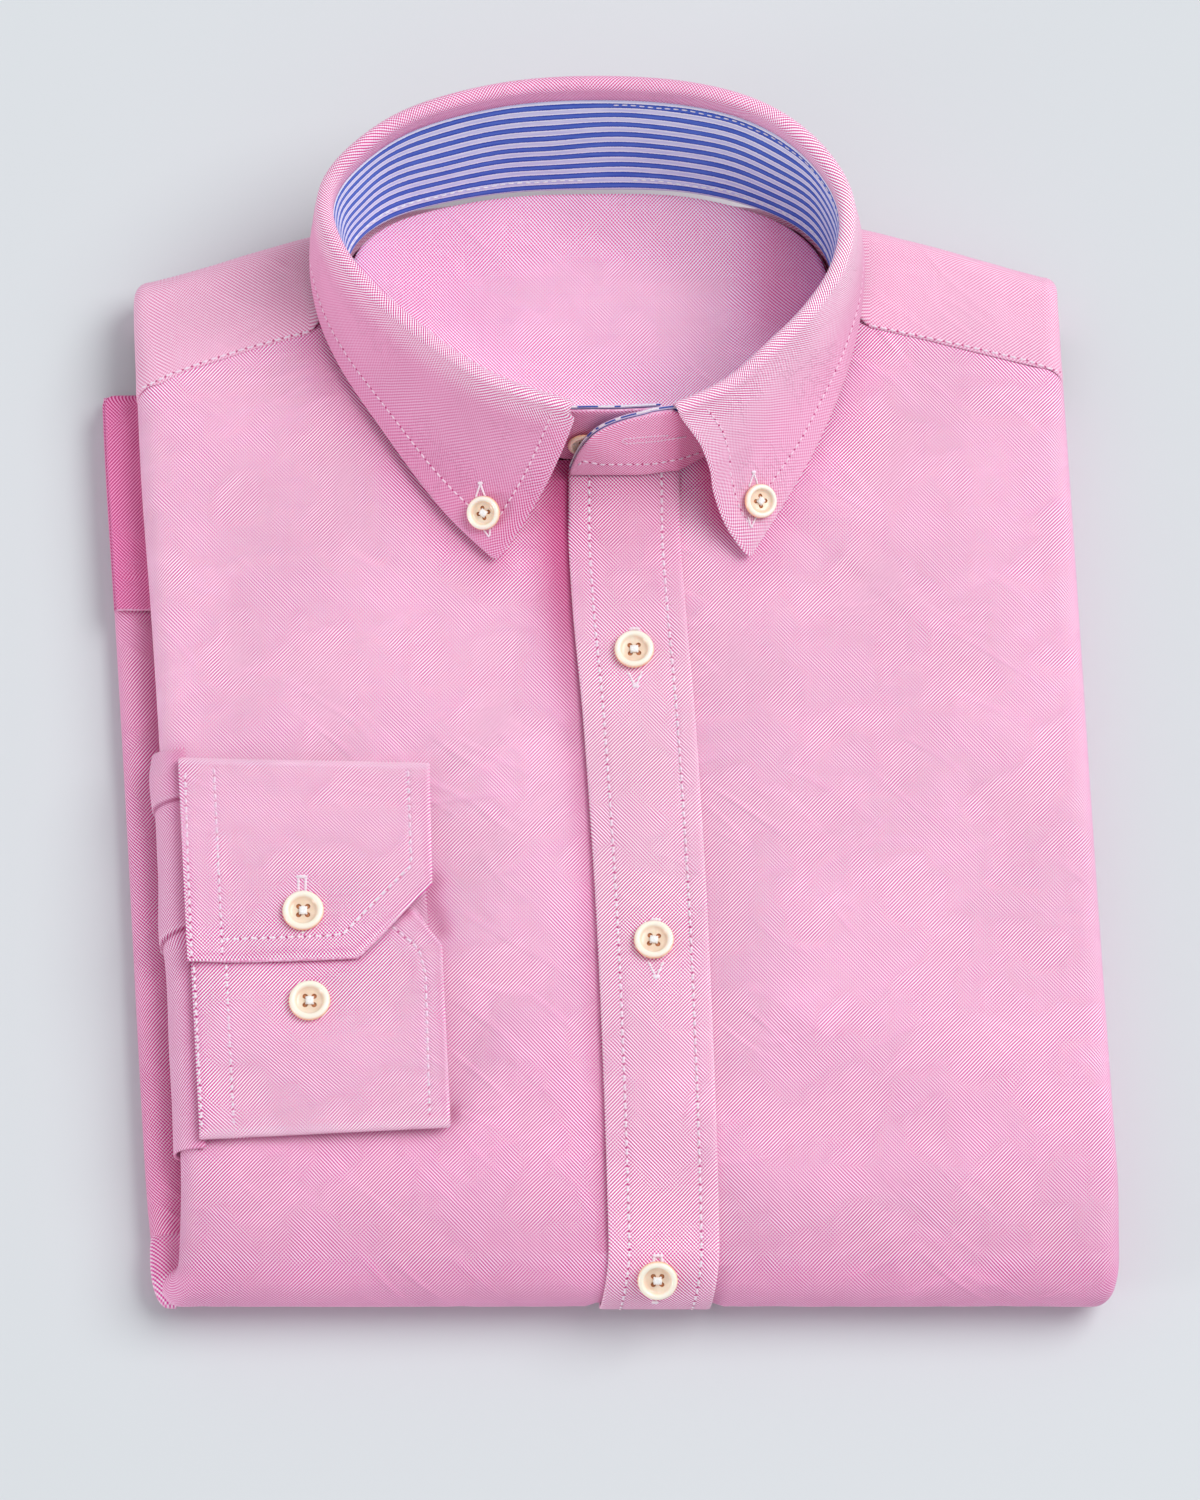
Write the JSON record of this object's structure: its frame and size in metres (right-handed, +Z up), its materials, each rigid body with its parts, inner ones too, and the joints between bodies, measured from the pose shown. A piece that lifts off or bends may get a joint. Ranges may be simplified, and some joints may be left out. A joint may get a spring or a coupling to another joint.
{
  "type": "folded dress shirt",
  "caption": "Folded long-sleeved button-down dress shirt lying flat, collar standing, cuff laid on the front.",
  "frame": {"origin": "middle of the bounding box, on the surface the shirt lies on", "axes": "+Z up from that surface, +Y from the bottom fold to the collar, +X to the right of someone facing the shirt's front from the bottom fold, which is the wearer's left"},
  "size_m": [0.2904, 0.3578, 0.0617],
  "materials": {
    "shirting": "matt pinpoint cotton",
    "folded_shirting": "matt cotton, shaded between the layers",
    "striped_lining": "matt cotton, blue and white stripes along the band",
    "pearl_button": "polished, pearly"
  },
  "bodies": {
    "root": {"back": "shirting", "collar_button_1": "pearl_button", "collar_button_2": "pearl_button", "collar_leaf": "shirting", "collar_stand": "shirting", "collar_stand_lining": "striped_lining", "cuff_back_half": "shirting", "cuff_button_1": "pearl_button", "cuff_button_2": "pearl_button", "cuff_overlap": "shirting", "cuff_underlap": "shirting", "folded_layers": "folded_shirting", "front_button_1": "pearl_button", "front_button_2": "pearl_button", "front_button_3": "pearl_button", "left_front": "shirting", "placket": "shirting", "right_front": "shirting", "right_sleeve": "shirting", "right_sleeve_fold": "shirting", "stand_button": "pearl_button", "yoke": "shirting", "yoke_lining": "shirting"}
  },
  "joints": []
}
